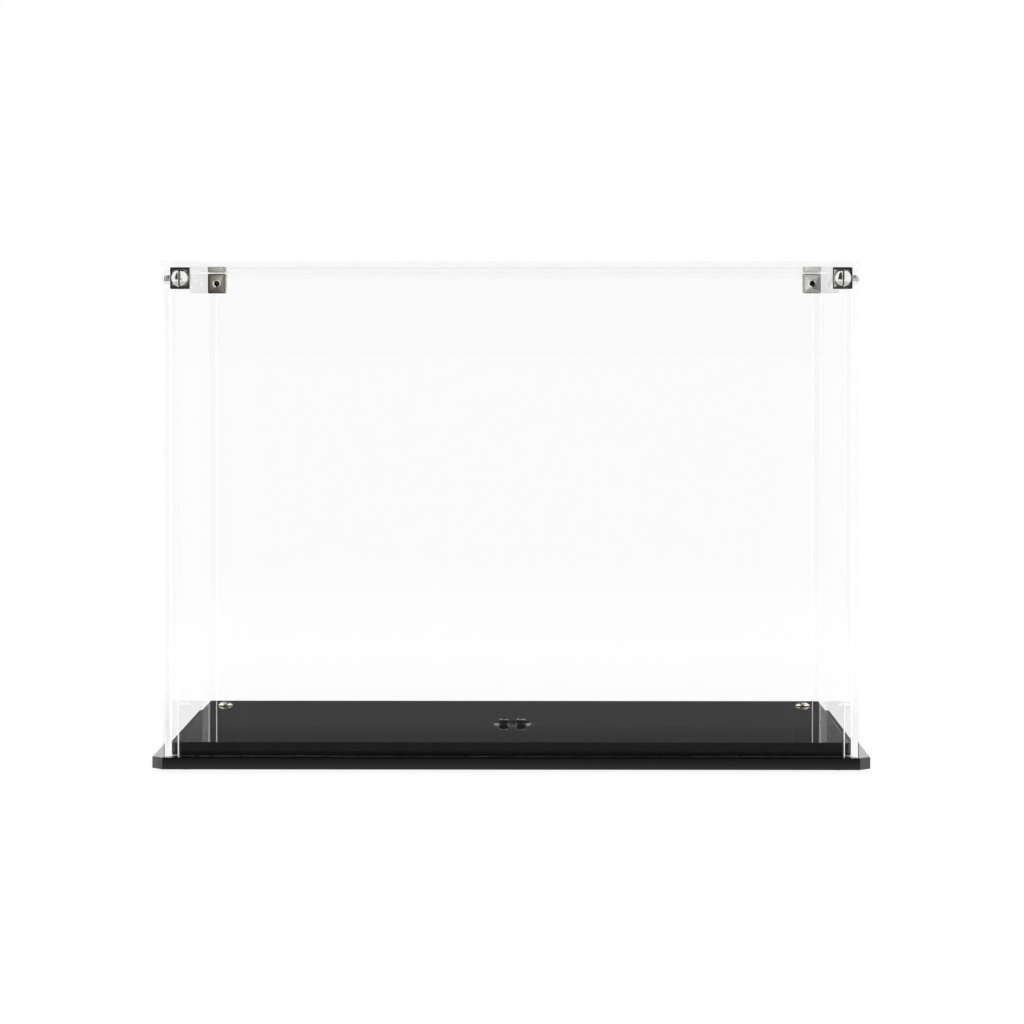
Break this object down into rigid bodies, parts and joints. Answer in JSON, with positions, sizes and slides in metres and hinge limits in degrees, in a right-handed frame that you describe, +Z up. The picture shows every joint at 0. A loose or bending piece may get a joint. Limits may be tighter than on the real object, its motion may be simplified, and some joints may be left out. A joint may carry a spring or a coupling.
{
  "type": "football display case",
  "caption": "Clear display case for a football: a cover of clear walls with a drop-in lid lifts off a stepped black base, metal corner cubes holding its screws.",
  "frame": {"origin": "centre of the footprint, on the surface that the feet stand on", "axes": "+X to the viewer's right along the width, +Y from the front wall to the back wall, +Z up"},
  "size_m": [0.362, 0.225, 0.2575],
  "materials": {
    "clear_sheet": "polished clear acrylic sheet",
    "clear_lid": "polished clear acrylic sheet",
    "clear_strip": "clear acrylic rod and strip, saw-cut ends",
    "black_acrylic": "high gloss black acrylic",
    "cube_metal": "nickel plated, fine brushed",
    "bright_screw": "polished",
    "plain_screw": "plain turned",
    "black_screw": "black oxide",
    "bumper_rubber": "matt moulded"
  },
  "bodies": {
    "base": {"base_plate": "black_acrylic", "plinth_plate": "black_acrylic", "stand_pad": "clear_strip", "foot_front_left": "bumper_rubber", "foot_front_right": "bumper_rubber", "foot_rear_left": "bumper_rubber", "foot_rear_right": "bumper_rubber", "plinth_screw_left": "bright_screw", "plinth_screw_right": "bright_screw", "stand_screw_left": "black_screw", "stand_screw_right": "black_screw", "rear_screw_left": "black_screw", "rear_screw_right": "black_screw"},
    "cover": {"front_panel": "clear_sheet", "back_panel": "clear_sheet", "side_panel_left": "clear_sheet", "side_panel_right": "clear_sheet", "corner_post_front_left": "clear_strip", "corner_post_front_right": "clear_strip", "corner_post_rear_left": "clear_strip", "corner_post_rear_right": "clear_strip", "lid_ledge_front": "clear_strip", "lid_ledge_rear": "clear_strip", "corner_cube_front_left": "cube_metal", "corner_cube_front_right": "cube_metal", "corner_cube_rear_left": "cube_metal", "corner_cube_rear_right": "cube_metal", "wall_screw_front_left": "bright_screw", "wall_screw_front_right": "bright_screw", "wall_screw_rear_left": "bright_screw", "wall_screw_rear_right": "bright_screw", "side_screw_front_left": "plain_screw", "side_screw_front_right": "plain_screw", "side_screw_rear_left": "plain_screw", "side_screw_rear_right": "plain_screw"},
    "lid": {"top_panel": "clear_lid"}
  },
  "joints": [
    {"name": "cover_lift", "type": "slide", "parent": "base", "child": "cover", "axis": [0, 0, 1], "range_m": [0, 0.26]},
    {"name": "lid_lift", "type": "slide", "parent": "cover", "child": "lid", "axis": [0, 0, 1], "range_m": [0, 0.12]}
  ]
}
